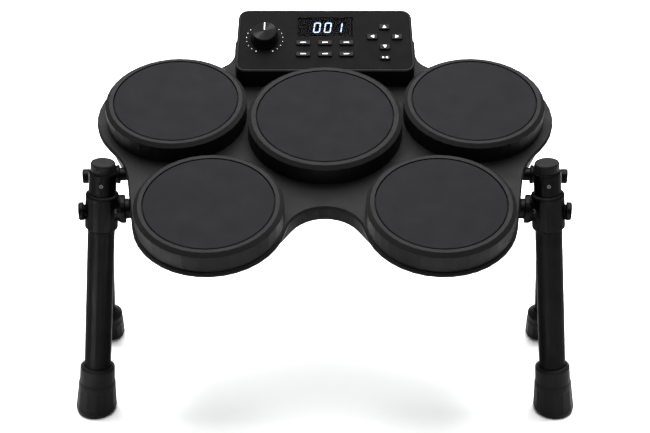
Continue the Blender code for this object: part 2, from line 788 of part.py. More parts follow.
def leg_places():
    """Name, side and sizes of each leg."""
    places = []
    for end, sizes in (("front", FRONT_LEG), ("rear", REAR_LEG)):
        for side_name, side in (("left", -1), ("right", 1)):
            places.append((f"{end}_{side_name}", side, sizes))
    return places


def leg_frames(deck, name, side, sizes):
    """Empties on a leg's stub, its clamp and its tube; the tube splays out from square to the stub."""
    turn = -STUB_YAW if side > 0 else math.pi + STUB_YAW
    place = (side * STUB_ROOT_X, sizes["stub_y"], STUB_Z)
    stub = make_empty(f"stub_{name}_axis", deck, place, (0.0, 0.0, turn))
    lean = (side * sizes["lean"], 0.0, 0.0)
    clamp = make_empty(f"clamp_{name}_axis", stub, (CLAMP_REACH, 0.0, 0.0), lean)
    tube = make_empty(f"tube_{name}_axis", clamp, (0.0, 0.0, 0.0), (0.0, -sizes["splay"], 0.0))
    return stub, clamp, tube


ALONG_X = (0.0, math.radians(90.0), 0.0)


def socket_floor(sizes):
    """Distance from the tube's axis to the bottom of the hub's socket."""
    return sizes["tube_radius"] + GAP + SOCKET_WALL


def add_stub_pipe(name, sizes, stub, materials, walls):
    """Pipe seated on the deck's curved wall, with a spigot through it and its end in the hub."""
    radius = sizes["pipe_radius"]
    end = CLAMP_REACH - socket_floor(sizes) - GAP
    profile = [(radius, 0.0), (radius, end - GAP * 2.0), (radius - GAP * 2.0, end)]
    mesh = turned_mesh(name, profile, LEG_SIDES)
    pipe = make_object(name, mesh, materials["bracket"], stub, rotation=ALONG_X)
    for wall in walls:
        combine(pipe, wall, "DIFFERENCE")
    spigot = [(SPIGOT_RADIUS, -SPIGOT_LENGTH), (SPIGOT_RADIUS, end - SPIGOT_RADIUS / 2.0)]
    combine(pipe, turned_tool(f"{name}_spigot", spigot, SMALL_SIDES, stub, rotation=ALONG_X), "UNION")


def add_spigot_hole(name, stub, tub):
    """Hole in the tub's wall for a pipe's spigot."""
    radius = SPIGOT_RADIUS + GAP
    hole = [(radius, -SPIGOT_LENGTH - CUT_REACH), (radius, CLAMP_REACH)]
    combine(tub, turned_tool(f"{name}_hole", hole, SMALL_SIDES, stub, rotation=ALONG_X), "DIFFERENCE")


def add_clamp(name, sizes, clamp, tube, materials):
    """Sleeve round the tube with a flared hub for the pipe and a neck for the locking knob."""
    sleeve = sizes["sleeve_radius"]
    half = sizes["sleeve_length"] / 2.0
    chamfer = sizes["sleeve_chamfer"]
    profile = [
        (sleeve - chamfer, -half),
        (sleeve, chamfer - half),
        (sleeve, half - chamfer),
        (sleeve - chamfer, half),
    ]
    body = make_object(name, turned_mesh(name, profile, LEG_SIDES), materials["bracket"], tube)
    hub_end = sizes["hub_end"]
    hub_disc = sizes["hub_disc"]
    hub_radius = sizes["hub_radius"]
    hub = [
        (hub_radius - HUB_EDGE, -hub_end),
        (hub_radius, HUB_EDGE - hub_end),
        (hub_radius, hub_disc - hub_end),
        (sizes["hub_root_radius"], -sizes["tube_radius"]),
        (sizes["hub_root_radius"], 0.0),
    ]
    combine(body, turned_tool(f"{name}_hub", hub, LEG_SIDES, clamp, rotation=ALONG_X), "UNION")
    neck_end = sleeve + sizes["neck_length"]
    neck = [(sizes["neck_radius"], 0.0), (sizes["neck_radius"], neck_end)]
    combine(body, turned_tool(f"{name}_neck", neck, KNOB_SIDES, clamp, rotation=ALONG_X), "UNION")
    bore = sizes["tube_radius"] + GAP
    tube_bore = [(bore, -half - CUT_REACH), (bore, half + CUT_REACH)]
    combine(body, turned_tool(f"{name}_bore", tube_bore, LEG_SIDES, tube), "DIFFERENCE")
    mouth = sizes["pipe_radius"] + GAP
    socket = [(mouth, -hub_end - CUT_REACH), (mouth, -socket_floor(sizes))]
    combine(body, turned_tool(f"{name}_socket", socket, LEG_SIDES, clamp, rotation=ALONG_X), "DIFFERENCE")
    screw = [(KNOB_SHANK_RADIUS + GAP, 0.0), (KNOB_SHANK_RADIUS + GAP, neck_end + CUT_REACH)]
    combine(body, turned_tool(f"{name}_screw", screw, SMALL_SIDES, clamp, rotation=ALONG_X), "DIFFERENCE")
    return neck_end


def add_lock_knob(name, sizes, clamp, neck_end, materials):
    """Locking knob with its shank in the clamp and a dimple in its end."""
    start = neck_end + GAP
    end = start + sizes["knob_length"]
    radius = sizes["knob_radius"]
    profile = [
        (KNOB_SHANK_RADIUS, sizes["tube_radius"] + SHANK_CLEARANCE),
        (KNOB_SHANK_RADIUS, start),
        (radius - KNOB_BACK_ROUND, start),
        (radius, start + KNOB_BACK_ROUND),
        (radius, end - KNOB_END_ROUND),
        (radius - KNOB_END_ROUND, end),
        (KNOB_DIMPLE_RADIUS, end),
        (KNOB_DIMPLE_FLOOR, end - KNOB_DIMPLE_DEPTH),
    ]
    make_object(name, turned_mesh(name, profile, KNOB_SIDES), materials["bracket"], clamp, rotation=ALONG_X)


def floor_distance(matrix, x, y):
    """Distance down a leg's axis from its clamp to the floor, at a point beside the axis."""
    height = matrix.translation.z + matrix[2][0] * x + matrix[2][1] * y
    return height / matrix[2][2]


def foot_loop(matrix, radius, height, foot_height, flute):
    """Loop of the foot that lies along the floor at the sole and turns square to the tube higher up."""
    blend = 1.0 - height / foot_height
    middle = floor_distance(matrix, 0.0, 0.0)
    loop = []
    for x, y, _ in fluted_circle(radius, flute, 0.0, FOOT_FLUTES):
        dip = floor_distance(matrix, x, y) - middle
        loop.append((x, y, height - middle - dip * blend))
    return loop


def add_foot(name, sizes, tube, materials):
    """Rubber foot: a collar over the tube's end and a flared skirt with shallow flutes."""
    matrix = tube.matrix_world.copy()
    height = sizes["foot_height"]
    skirt = sizes["foot_skirt"]
    shoulder = sizes["foot_shoulder"]
    collar = sizes["foot_collar"]
    mouth = sizes["tube_radius"] + GAP
    top_round = collar - mouth - GAP * 4.0
    round_in, round_up = FOOT_SOLE_ROUND
    stations = [
        (sizes["foot_sole"], 0.0, 0.0),
        (skirt - round_in, round_up, 0.0),
        (skirt, sizes["skirt_low"], 0.0),
        (skirt - GAP, sizes["flute_low"], FOOT_FLUTE_DEPTH),
        (shoulder + GAP, sizes["flute_high"], FOOT_FLUTE_DEPTH),
        (shoulder + GAP, sizes["flute_high"] + GAP, 0.0),
        (shoulder, sizes["band_top"], 0.0),
        (collar + GAP, sizes["collar_low"], 0.0),
        (collar, height - top_round, 0.0),
        (mouth + GAP * 2.0, height, 0.0),
        (mouth, height - GAP * 4.0, 0.0),
        (mouth, sizes["cup_floor"], 0.0),
    ]
    loops = [foot_loop(matrix, radius, z, height, flute) for radius, z, flute in stations]
    make_object(name, skin_mesh(name, loops), materials["foot_rubber"], tube)
    return sizes["cup_floor"] + GAP - floor_distance(matrix, 0.0, 0.0)


def add_tube(name, sizes, tube, bottom, materials):
    """Hollow leg tube from inside the foot to above the clamp."""
    radius = sizes["tube_radius"]
    bore = radius - sizes["tube_wall"]
    top = sizes["tube_rise"]
    low = bottom + TUBE_END_GAP
    profile = [
        (radius, low),
        (radius, top - TUBE_EDGE),
        (radius - TUBE_EDGE, top),
        (bore, top),
        (bore, low),
    ]
    make_object(name, turned_mesh(name, profile, LEG_SIDES, ring=True), materials["tube"], tube)


def add_end_cap(name, sizes, tube, materials):
    """Domed cap plugged into the mouth of a wide tube."""
    radius = sizes["tube_radius"] - sizes["tube_wall"] - GAP
    top = sizes["tube_rise"] + CAP_RISE
    profile = [
        (radius, sizes["tube_rise"] - CAP_PLUG_DEPTH),
        (radius, top - CAP_ROUND),
        (radius - CAP_ROUND_STEP, top - CAP_ROUND_STEP),
        (radius - CAP_ROUND, top),
    ]
    make_object(name, turned_mesh(name, profile, LEG_SIDES), materials["foot_rubber"], tube)


def add_legs(deck, tub, materials):
    """Stub pipe, clamp, locking knob, tube and foot of each leg."""
    flange = belt(flange_circles(), FLANGE_EDGE_WIDTH + GAP)
    body = belt(tub_circles(), GAP)
    reach = DECK_TOP - DECK_BOTTOM
    walls = [
        prism_tool("flange_envelope", flange, FLANGE_BOTTOM - GAP, DECK_TOP + reach, deck),
        prism_tool("tub_envelope", body, DECK_BOTTOM - reach, DECK_TOP, deck),
    ]
    for name, side, sizes in leg_places():
        stub, clamp, tube = leg_frames(deck, name, side, sizes)
        bpy.context.view_layer.update()
        add_stub_pipe(f"stub_pipe_{name}", sizes, stub, materials, walls)
        add_spigot_hole(f"stub_pipe_{name}", stub, tub)
        neck_end = add_clamp(f"clamp_{name}", sizes, clamp, tube, materials)
        add_lock_knob(f"lock_knob_{name}", sizes, clamp, neck_end, materials)
        bottom = add_foot(f"foot_{name}", sizes, tube, materials)
        add_tube(f"leg_tube_{name}", sizes, tube, bottom, materials)
        if sizes is FRONT_LEG:
            add_end_cap(f"end_cap_{name}", sizes, tube, materials)


def make_materials():
    """Materials of the kit."""
    return {
        "housing": make_material("housing_plastic", (0.040, 0.040, 0.044), 0.55),
        "pad_rubber": make_material("pad_rubber", (0.055, 0.055, 0.058), 0.80),
        "brass": make_material("sensor_brass", (0.60, 0.42, 0.16), 0.35, 1.0),
        "face": make_material("face_plastic", (0.030, 0.031, 0.034), 0.50),
        "lens": make_material("smoked_lens", (0.010, 0.011, 0.015), 0.15),
        "dark": make_material("dark_plastic", (0.012, 0.012, 0.014), 0.45),
        "board": make_material("circuit_board", (0.02, 0.16, 0.06), 0.45),
        "button": make_material("button_rubber", (0.035, 0.035, 0.038), 0.60),
        "knob": make_material("knob_plastic", (0.020, 0.020, 0.022), 0.40),
        "bright_metal": make_material("bright_metal", (0.62, 0.63, 0.65), 0.28, 1.0),
        "bracket": make_material("bracket_plastic", (0.030, 0.030, 0.032), 0.50),
        "tube": make_material("tube_metal", (0.045, 0.045, 0.048), 0.38, 0.4),
        "foot_rubber": make_material("foot_rubber", (0.022, 0.022, 0.023), 0.70),
    }


def middle_of_depth():
    """Middle of the kit's depth from front to back."""
    bpy.context.view_layer.update()
    graph = bpy.context.evaluated_depsgraph_get()
    ys = []
    for piece in bpy.data.objects:
        if piece.type == "MESH" and not piece.hide_render:
            shape = piece.evaluated_get(graph)
            ys += [(shape.matrix_world @ vertex.co).y for vertex in shape.data.vertices]
    return (min(ys) + max(ys)) / 2.0


def main():
    clear_scene()
    materials = make_materials()
    deck = make_empty("deck_frame", None, (0.0, 0.0, DECK_HEIGHT), (DECK_TILT, 0.0, 0.0))
    face_place = (0.0, MODULE_FRONT_Y, MODULE_FACE_Z)
    face = make_empty("face_frame", deck, face_place, (MODULE_SLOPE, 0.0, 0.0))
    add_pods(deck, materials)
    add_deck_top(deck, materials)
    tub = add_deck_bottom(deck, materials)
    add_main_board(deck, materials)
    radius = pod_radius(CENTRE_GROOVE_RADIUS, CENTRE_LAND_WIDTH)
    relief_radius = radius + POD_RELIEF_GAP
    relief_profile = [(relief_radius, DECK_TOP * 1.5), (relief_radius, -DECK_TOP)]
    relief_place = (0.0, CENTRE_PAD_Y, pod_lift(radius, CENTRE_PAD_RAKE))
    relief_turn = (CENTRE_PAD_RAKE, 0.0, 0.0)
    relief = turned_tool("pod_relief", relief_profile, POD_SIDES * 2, deck, relief_place, relief_turn)
    add_module_case(deck, materials, relief)
    add_module_face(deck, face, materials, relief)
    add_display(face, materials)
    add_key_board(face, materials)
    add_buttons(face, materials)
    add_volume_knob(face, materials)
    add_legs(deck, tub, materials)
    deck.location.y -= middle_of_depth()
    bpy.context.view_layer.update()


main()
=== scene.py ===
"""Looks of the tabletop drum kit: finishes, printed marks, lit digits, floor, lights and camera.

What sits on the control module is placed in axes of the module's face: U to the right, V up the face and N
out of it. They are read from the volume knob's joint and from the nodes, so the marks stay on what carries
them.
"""
import json
import math

import bmesh
import bpy
from mathutils import Matrix, Vector


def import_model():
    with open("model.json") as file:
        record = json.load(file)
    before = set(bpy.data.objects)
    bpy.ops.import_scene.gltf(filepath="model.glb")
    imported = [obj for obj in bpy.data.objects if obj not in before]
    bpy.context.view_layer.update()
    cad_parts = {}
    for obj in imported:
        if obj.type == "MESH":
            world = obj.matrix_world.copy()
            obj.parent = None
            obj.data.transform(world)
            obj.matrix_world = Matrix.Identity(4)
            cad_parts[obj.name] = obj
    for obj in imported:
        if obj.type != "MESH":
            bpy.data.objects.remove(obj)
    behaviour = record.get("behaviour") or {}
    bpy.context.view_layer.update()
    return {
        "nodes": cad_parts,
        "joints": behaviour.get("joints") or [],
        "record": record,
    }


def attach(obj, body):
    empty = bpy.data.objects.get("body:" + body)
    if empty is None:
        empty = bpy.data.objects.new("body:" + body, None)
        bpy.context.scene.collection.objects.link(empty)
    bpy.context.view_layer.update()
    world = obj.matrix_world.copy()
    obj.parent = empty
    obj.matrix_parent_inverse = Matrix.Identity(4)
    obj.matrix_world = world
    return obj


# Camera
CAMERA_AIM = (0.0, -0.1597, 0.3080)
CAMERA_DISTANCE = 1.920
CAMERA_PITCH = math.radians(31.46)
CAMERA_LENS = 90.6

# Floor and lights
FLOOR_HALF = 9.0
FLOOR_COLOR = (0.96, 0.96, 0.96)
WORLD_COLOR = (0.95, 0.97, 1.0)
WORLD_STRENGTH = 0.30
TOP_LIGHT = {"place": (0.0, 1.4, 2.5), "aim": (0.0, 0.5, 0.0), "size": (4.2, 2.6), "power": 322.0}
UPPER_LIGHT = {"place": (0.0, -0.1, 2.7), "aim": (0.0, -0.1, 0.0), "size": (1.6, 1.6), "power": 84.0}
LEFT_LIGHT = {"place": (-1.75, -1.05, 0.55), "aim": (0.0, -0.1, 0.25), "size": (0.35, 1.0), "power": 3.0}
RIGHT_LIGHT = {"place": (2.1, -0.4, 1.2), "aim": (0.0, -0.1, 0.2), "size": (0.5, 0.5), "power": 0.8}

FLOOR_LAMP_HEIGHT = 0.35
FLOOR_LAMP_SPREAD = math.radians(12.0)
FLOOR_LAMP_SIZE = (0.12, 0.78)
FLOOR_LAMPS = {
    "left_floor_lamp": {"place": (-0.68, -0.58), "turn": math.radians(-42.0), "power": 5.0},
    "middle_floor_lamp": {"place": (0.02, -0.62), "turn": math.radians(-25.0), "power": 1.2},
}

# Printed marks, laid on the surface and sunk a little into it
PRINT_RISE = 0.00005
PRINT_SINK = 0.00005
DOT_SIDES = 10

# Strength of the mirror part of the matte black plastics and rubbers
MATTE_SPECULAR = 0.042
SATIN_SPECULAR = 0.05
FACE_SPECULAR = 0.016

# Reflection of the coated metal seen almost edge on
COATING_EDGE = (0.50, 0.50, 0.50)

# Radius to which edges are shaded, and the wider one that smooths the facets of the legs' round pieces
EDGE_ROUND = 0.0006
TURNED_ROUND = 0.0034

# Scale of dots round the volume knob
SCALE_RADIUS = 0.0240
SCALE_DOTS = 19
SCALE_STEP = math.radians(17.0)
SCALE_DOT_RADIUS = 0.00045
SCALE_END_DOT_RADIUS = 0.0007

# Pointer on the volume knob
POINTER_START = 0.0020
POINTER_END = 0.0138
POINTER_HALF_WIDTH = 0.00055
POINTER_TURN = math.radians(-1.0)

# Legends of the buttons
ARROW_HALF_BASE = 0.0026
ARROW_LENGTH = 0.0046
ARROW_TURNS = {"up": 0.0, "left": 90.0, "down": 180.0, "right": -90.0}
PLAY_HALF_HEIGHT = 0.0015
PLAY_LENGTH = 0.0024
PLAY_SHIFT = 0.0022
PAUSE_BAR_HALF_WIDTH = 0.0004
PAUSE_BAR_PLACES = (0.0014, 0.0030)
LEGEND_HALF_LENGTH = 0.0036
LEGEND_HALF_HEIGHT = 0.0006

# Flush socket screws: on the front leg tubes above the clamps, and on the clamps' hubs
SCREW_RADIUS = 0.0024
SCREW_RISE = 0.00012
SCREW_ROOT = 0.0010
SCREW_EDGE = 0.0003
SOCKET_RADIUS = 0.0013
SOCKET_DEPTH = 0.0008
TUBE_SCREW_PLACE = 0.0385
HUB_SCREW_PLACE = 0.0180
HUB_SCREW_TILT = math.radians(20.0)
SCREW_SIDES = 18
SCREW_REACH = 0.08

# Base colours of the knob's turned disc, a painted sheen: from square to the sheen's diameter to along it, where the
# painted highlight is palest, and where that diameter lies
DISC_PAINTED_SHEEN_SHADES = (
    (0.00, (0.0009, 0.0009, 0.0010)),
    (0.55, (0.0014, 0.0014, 0.0015)),
    (0.90, (0.0023, 0.0023, 0.0024)),
    (1.00, (0.0074, 0.0074, 0.0077)),
)
PAINTED_SHEEN_TURN = math.radians(40.0)

# Lit digits on the display behind the window
DIGITS = "001"
DIGIT_PITCH = 0.0143
DIGIT_SHIFT = 0.0033
DIGIT_RISE = 0.0014
DIGIT_HALF_WIDTH = 0.0038
DIGIT_HALF_HEIGHT = 0.0079
DIGIT_SLANT = math.tan(math.radians(7.0))
SEGMENT_HALF_WIDTH = 0.00075
SEGMENT_GAP = 0.0003
SEGMENTS = {
    "top": ((-1, 1), (1, 1)),
    "upper_right": ((1, 1), (1, 0)),
    "lower_right": ((1, 0), (1, -1)),
    "bottom": ((1, -1), (-1, -1)),
    "lower_left": ((-1, -1), (-1, 0)),
    "upper_left": ((-1, 0), (-1, 1)),
    "middle": ((-1, 0), (1, 0)),
}
LIT = {
    "0": ("top", "upper_right", "lower_right", "bottom", "lower_left", "upper_left"),
    "1": ("upper_right", "lower_right"),
}


# Materials

def new_material(name, color, roughness, metallic=0.0, specular=0.5):
    """Material with a Principled shader; gives the material, its tree and its shader."""
    material = bpy.data.materials.new(name)
    material.use_nodes = True
    tree = material.node_tree
    shader = tree.nodes["Principled BSDF"]
    shader.inputs["Base Color"].default_value = (*color, 1.0)
    shader.inputs["Roughness"].default_value = roughness
    shader.inputs["Metallic"].default_value = metallic
    shader.inputs["Specular IOR Level"].default_value = specular
    return material, tree, shader


def add_noise(tree, scale, detail=3.0):
    """Noise over the piece's own coordinates; the scale is in features per metre."""
    coordinates = tree.nodes.new("ShaderNodeTexCoord")
    noise = tree.nodes.new("ShaderNodeTexNoise")
    noise.inputs["Scale"].default_value = scale
    noise.inputs["Detail"].default_value = detail
    tree.links.new(coordinates.outputs["Object"], noise.inputs["Vector"])
    return noise.outputs["Fac"]


def vary_color(tree, shader, color, spread, scale):
    """Colour that wanders between a darker and a lighter shade."""
    ramp = tree.nodes.new("ShaderNodeValToRGB")
    ramp.color_ramp.elements[0].position = 0.3
    ramp.color_ramp.elements[1].position = 0.7
    ramp.color_ramp.elements[0].color = (*[value * (1.0 - spread) for value in color], 1.0)
    ramp.color_ramp.elements[1].color = (*[value * (1.0 + spread) for value in color], 1.0)
    tree.links.new(add_noise(tree, scale), ramp.inputs["Fac"])
    tree.links.new(ramp.outputs["Color"], shader.inputs["Base Color"])


def vary_roughness(tree, shader, low, high, scale):
    """Roughness that wanders between two values."""
    spread = tree.nodes.new("ShaderNodeMapRange")
    spread.inputs["From Min"].default_value = 0.3
    spread.inputs["From Max"].default_value = 0.7
    spread.inputs["To Min"].default_value = low
    spread.inputs["To Max"].default_value = high
    tree.links.new(add_noise(tree, scale), spread.inputs["Value"])
    tree.links.new(spread.outputs["Result"], shader.inputs["Roughness"])


def soften_edges(tree, shader, radius):
    """Shade the edges and the facets of turned forms as if rounded to a radius."""
    rounded = tree.nodes.new("ShaderNodeBevel")
    rounded.samples = 6
    rounded.inputs["Radius"].default_value = radius
    tree.links.new(rounded.outputs["Normal"], shader.inputs["Normal"])


def add_bump(tree, shader, height, depth):
    """Bump from a height output, with its depth in metres; bumps stack on one already there."""
    bump = tree.nodes.new("ShaderNodeBump")
    bump.inputs["Strength"].default_value = 1.0
    bump.inputs["Distance"].default_value = depth
    tree.links.new(height, bump.inputs["Height"])
    if shader.inputs["Normal"].is_linked:
        below = shader.inputs["Normal"].links[0].from_socket
        tree.links.new(below, bump.inputs["Normal"])
    tree.links.new(bump.outputs["Normal"], shader.inputs["Normal"])


def moulded(name, color, roughness, grain_scale, grain_depth, specular=MATTE_SPECULAR, spread=0.05, edge=EDGE_ROUND):
    """Moulded plastic: soft edges, fine eroded grain, faint mottling and a sheen that isn't quite even."""
    material, tree, shader = new_material(name, color, roughness, specular=specular)
    soften_edges(tree, shader, edge)
    vary_color(tree, shader, color, spread, 35.0)
    vary_roughness(tree, shader, roughness - 0.05, roughness + 0.06, 60.0)
    add_bump(tree, shader, add_noise(tree, grain_scale, 2.0), grain_depth)
    return material


def pad_rubber():
    """Rubber playing surface, with a fine pebbled grain."""
    color = (0.0071, 0.0069, 0.0077)
    material, tree, shader = new_material("pad_rubber", color, 0.80, specular=MATTE_SPECULAR)
    vary_color(tree, shader, color, 0.03, 16.0)
    vary_roughness(tree, shader, 0.76, 0.86, 40.0)
    add_bump(tree, shader, add_noise(tree, 900.0, 4.0), 0.00006)
    return material


def coated_metal(name, color, grain_depth):
    """Satin black coating over metal, with a fine orange-peel surface and edges that stay dark."""
    material, tree, shader = new_material(name, color, 0.42, 1.0)
    shader.inputs["Specular Tint"].default_value = (*COATING_EDGE, 1.0)
    soften_edges(tree, shader, TURNED_ROUND)
    vary_color(tree, shader, color, 0.12, 50.0)
    vary_roughness(tree, shader, 0.38, 0.46, 80.0)
    add_bump(tree, shader, add_noise(tree, 700.0), grain_depth)
    return material


def screw_steel():
    """Blackened steel, worn a little brighter in places."""
    color = (0.10, 0.10, 0.104)
    material, tree, shader = new_material("screw_steel", color, 0.32, 1.0)
    vary_color(tree, shader, color, 0.3, 900.0)
    vary_roughness(tree, shader, 0.26, 0.38, 900.0)
    return material


def smoked_window():
    """Dark smoked window, faintly streaked as wiped plastic is."""
    material, tree, shader = new_material("smoked_lens", (0.040, 0.043, 0.054), 0.05)
    shader.inputs["Transmission Weight"].default_value = 1.0
    shader.inputs["IOR"].default_value = 1.07
    vary_roughness(tree, shader, 0.04, 0.09, 70.0)
    return material


def turned_metal_painted_sheen(centre, normal, sheen):
    """Turned aluminium face: fine rings about the knob's axis, and a painted sheen, with the base colour paler in
    sectors along one diameter.
    """
    material, tree, shader = new_material("bright_metal", DISC_PAINTED_SHEEN_SHADES[0][1], 0.34, 1.0)
    shader.inputs["Anisotropic"].default_value = 0.9
    coordinates = tree.nodes.new("ShaderNodeTexCoord")
    offset = tree.nodes.new("ShaderNodeVectorMath")
    offset.operation = "SUBTRACT"
    offset.inputs[1].default_value = centre
    tree.links.new(coordinates.outputs["Object"], offset.inputs[0])
    around = tree.nodes.new("ShaderNodeVectorMath")
    around.operation = "CROSS_PRODUCT"
    around.inputs[1].default_value = normal
    tree.links.new(offset.outputs["Vector"], around.inputs[0])
    outward = tree.nodes.new("ShaderNodeVectorMath")
    outward.operation = "CROSS_PRODUCT"
    outward.inputs[1].default_value = normal
    tree.links.new(around.outputs["Vector"], outward.inputs[0])
    posed = tree.nodes.new("ShaderNodeVectorTransform")
    posed.vector_type = "VECTOR"
    posed.convert_from = "OBJECT"
    posed.convert_to = "WORLD"
    tree.links.new(outward.outputs["Vector"], posed.inputs["Vector"])
    tree.links.new(posed.outputs["Vector"], shader.inputs["Tangent"])
    radius = tree.nodes.new("ShaderNodeVectorMath")
    radius.operation = "LENGTH"
    tree.links.new(around.outputs["Vector"], radius.inputs[0])
    rings = tree.nodes.new("ShaderNodeTexNoise")
    rings.noise_dimensions = "1D"
    rings.inputs["Scale"].default_value = 3500.0
    rings.inputs["Detail"].default_value = 2.0
    tree.links.new(radius.outputs["Value"], rings.inputs["W"])
    add_bump(tree, shader, rings.outputs["Fac"], 0.00002)
    # Painted sheen: the base colour is paler in the sectors whose radius lies along the sheen's diameter
    unit = tree.nodes.new("ShaderNodeVectorMath")
    unit.operation = "NORMALIZE"
    tree.links.new(outward.outputs["Vector"], unit.inputs[0])
    along = tree.nodes.new("ShaderNodeVectorMath")
    along.operation = "DOT_PRODUCT"
    along.inputs[1].default_value = sheen
    tree.links.new(unit.outputs["Vector"], along.inputs[0])
    sector = tree.nodes.new("ShaderNodeMath")
    sector.operation = "ABSOLUTE"
    tree.links.new(along.outputs["Value"], sector.inputs[0])
    ramp = tree.nodes.new("ShaderNodeValToRGB")
    for _ in DISC_PAINTED_SHEEN_SHADES[2:]:
        ramp.color_ramp.elements.new(0.5)
    for element, (position, shade) in zip(ramp.color_ramp.elements, DISC_PAINTED_SHEEN_SHADES):
        element.position = position
        element.color = (*shade, 1.0)
    tree.links.new(sector.outputs["Value"], ramp.inputs["Fac"])
    tree.links.new(ramp.outputs["Color"], shader.inputs["Base Color"])
    return material


def hidden_metal():
    """Pressed brass, lightly tarnished."""
    color = (0.60, 0.42, 0.16)
    material, tree, shader = new_material("sensor_brass", color, 0.35, 1.0)
    vary_color(tree, shader, color, 0.15, 200.0)
    vary_roughness(tree, shader, 0.28, 0.45, 300.0)
    return material


def white_print():
    """Screen-printed white ink, a little uneven."""
    color = (0.80, 0.80, 0.80)
    material, tree, shader = new_material("marking", color, 0.5)
    vary_color(tree, shader, color, 0.04, 900.0)
    add_bump(tree, shader, add_noise(tree, 4000.0), 0.00001)
    return material


def lit_digit():
    """Lit segment, cool white, a little brighter in places as over a lamp."""
    material, tree, shader = new_material("display_glow", (0.75, 0.85, 1.0), 0.5)
    shader.inputs["Emission Color"].default_value = (0.62, 0.78, 1.0, 1.0)
    glow = tree.nodes.new("ShaderNodeMapRange")
    glow.inputs["To Min"].default_value = 46.0
    glow.inputs["To Max"].default_value = 56.0
    tree.links.new(add_noise(tree, 500.0), glow.inputs["Value"])
    tree.links.new(glow.outputs["Result"], shader.inputs["Emission Strength"])
    return material


def studio_floor():
    """Pale paper floor with a very faint mottle."""
    material, tree, shader = new_material("studio_floor", FLOOR_COLOR, 0.85)
    vary_color(tree, shader, FLOOR_COLOR, 0.006, 2.0)
    add_bump(tree, shader, add_noise(tree, 60.0), 0.0001)
    return material


def make_materials(centre, normal, sheen):
    """Every finish, by the name of its slot in the record, and the screws' own."""
    return {
        "housing_plastic": moulded("housing_plastic", (0.0054, 0.0054, 0.0056), 0.50, 1500.0, 0.00004),
        "pad_rubber": pad_rubber(),
        "sensor_brass": hidden_metal(),
        "face_plastic": moulded("face_plastic", (0.0019, 0.0018, 0.0021), 0.50, 2200.0, 0.00002,
                                specular=FACE_SPECULAR),
        "smoked_lens": smoked_window(),
        "dark_plastic": moulded("dark_plastic", (0.004, 0.004, 0.0044), 0.45, 2500.0, 0.00002),
        "circuit_board": moulded("circuit_board", (0.02, 0.14, 0.05), 0.40, 800.0, 0.00003, spread=0.25),
        "button_rubber": moulded("button_rubber", (0.0075, 0.0075, 0.008), 0.55, 3000.0, 0.00002),
        "knob_plastic": moulded("knob_plastic", (0.004, 0.004, 0.0043), 0.38, 2500.0, 0.00002),
        # Turned disc, with a painted sheen in its base colour
        "bright_metal": turned_metal_painted_sheen(centre, normal, sheen),
        "bracket_plastic": coated_metal("bracket_plastic", (0.0056, 0.0056, 0.0057), 0.00004),
        "tube_metal": coated_metal("tube_metal", (0.0046, 0.0046, 0.0047), 0.00003),
        "foot_rubber": moulded("foot_rubber", (0.0054, 0.0054, 0.0055), 0.50, 1200.0, 0.00006,
                               specular=SATIN_SPECULAR, edge=TURNED_ROUND),
        "marking": white_print(),
        "display_glow": lit_digit(),
        "screw_steel": screw_steel(),
    }


def dress_nodes(frame, materials):
    for part in frame["record"]["subparts"]:
        node = frame["nodes"][part["node"]]
        for place in node.material_slots:
            place.material = materials[part["material_slot"]]


# Places on the module's face

def find_joint(frame, name):
    return next(joint for joint in frame["joints"] if joint["name"] == name)


def face_rotation(normal):
    """Rotation whose X is U, whose Y is V and whose Z is N."""
    across = Vector((1.0, 0.0, 0.0))
    along = normal.cross(across)
    return Matrix((across, along, normal)).transposed().to_4x4()


def top_of(node, rotation):
    """Frame on the middle of a node's upper side, square to the face."""
    back = rotation.inverted()
    points = [back @ vertex.co for vertex in node.data.vertices]
    low = [min(point[axis] for point in points) for axis in range(3)]
    high = [max(point[axis] for point in points) for axis in range(3)]
    middle = Vector(((low[0] + high[0]) / 2.0, (low[1] + high[1]) / 2.0, high[2]))
    return Matrix.Translation(rotation @ middle) @ rotation


# Printed marks

def shifted(outline, du, dv=0.0):
    return [(u + du, v + dv) for u, v in outline]


def turned(outline, angle):
    cosine = math.cos(angle)
    sine = math.sin(angle)
    return [(u * cosine - v * sine, u * sine + v * cosine) for u, v in outline]


def rectangle(half_u, half_v):
    return [(-half_u, -half_v), (half_u, -half_v), (half_u, half_v), (-half_u, half_v)]


def pill(half_u, half_v):
    """Bar with round ends."""
    ends = []
    for side, start in ((1, -90.0), (-1, 90.0)):
        for k in range(DOT_SIDES // 2 + 1):
            angle = math.radians(start + 180.0 * k / (DOT_SIDES // 2))
            ends.append((side * (half_u - half_v) + half_v * math.cos(angle), half_v * math.sin(angle)))
    return ends


def dot(radius):
    angles = [2.0 * math.pi * k / DOT_SIDES for k in range(DOT_SIDES)]
    return [(radius * math.cos(a), radius * math.sin(a)) for a in angles]


def triangle(half_base, length):
    """Triangle that points up V."""
    return [(-half_base, -length / 2.0), (half_base, -length / 2.0), (0.0, length / 2.0)]


def add_mark(name, outlines, place, body, material):
    """Thin closed plate over each outline, lying on a surface and riding with a body."""
    bm = bmesh.new()
    for outline in outlines:
        low = [bm.verts.new((u, v, -PRINT_SINK)) for u, v in outline]
        high = [bm.verts.new((u, v, PRINT_RISE)) for u, v in outline]
        bm.faces.new(list(reversed(low)))
        bm.faces.new(high)
        for i in range(len(outline)):
            j = (i + 1) % len(outline)
            bm.faces.new((low[i], low[j], high[j], high[i]))
    bmesh.ops.recalc_face_normals(bm, faces=bm.faces)
    mesh = bpy.data.meshes.new(name)
    bm.to_mesh(mesh)
    bm.free()
    mesh.materials.append(material)
    piece = bpy.data.objects.new(name, mesh)
    bpy.context.scene.collection.objects.link(piece)
    piece.matrix_world = place
    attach(piece, body)
    return piece


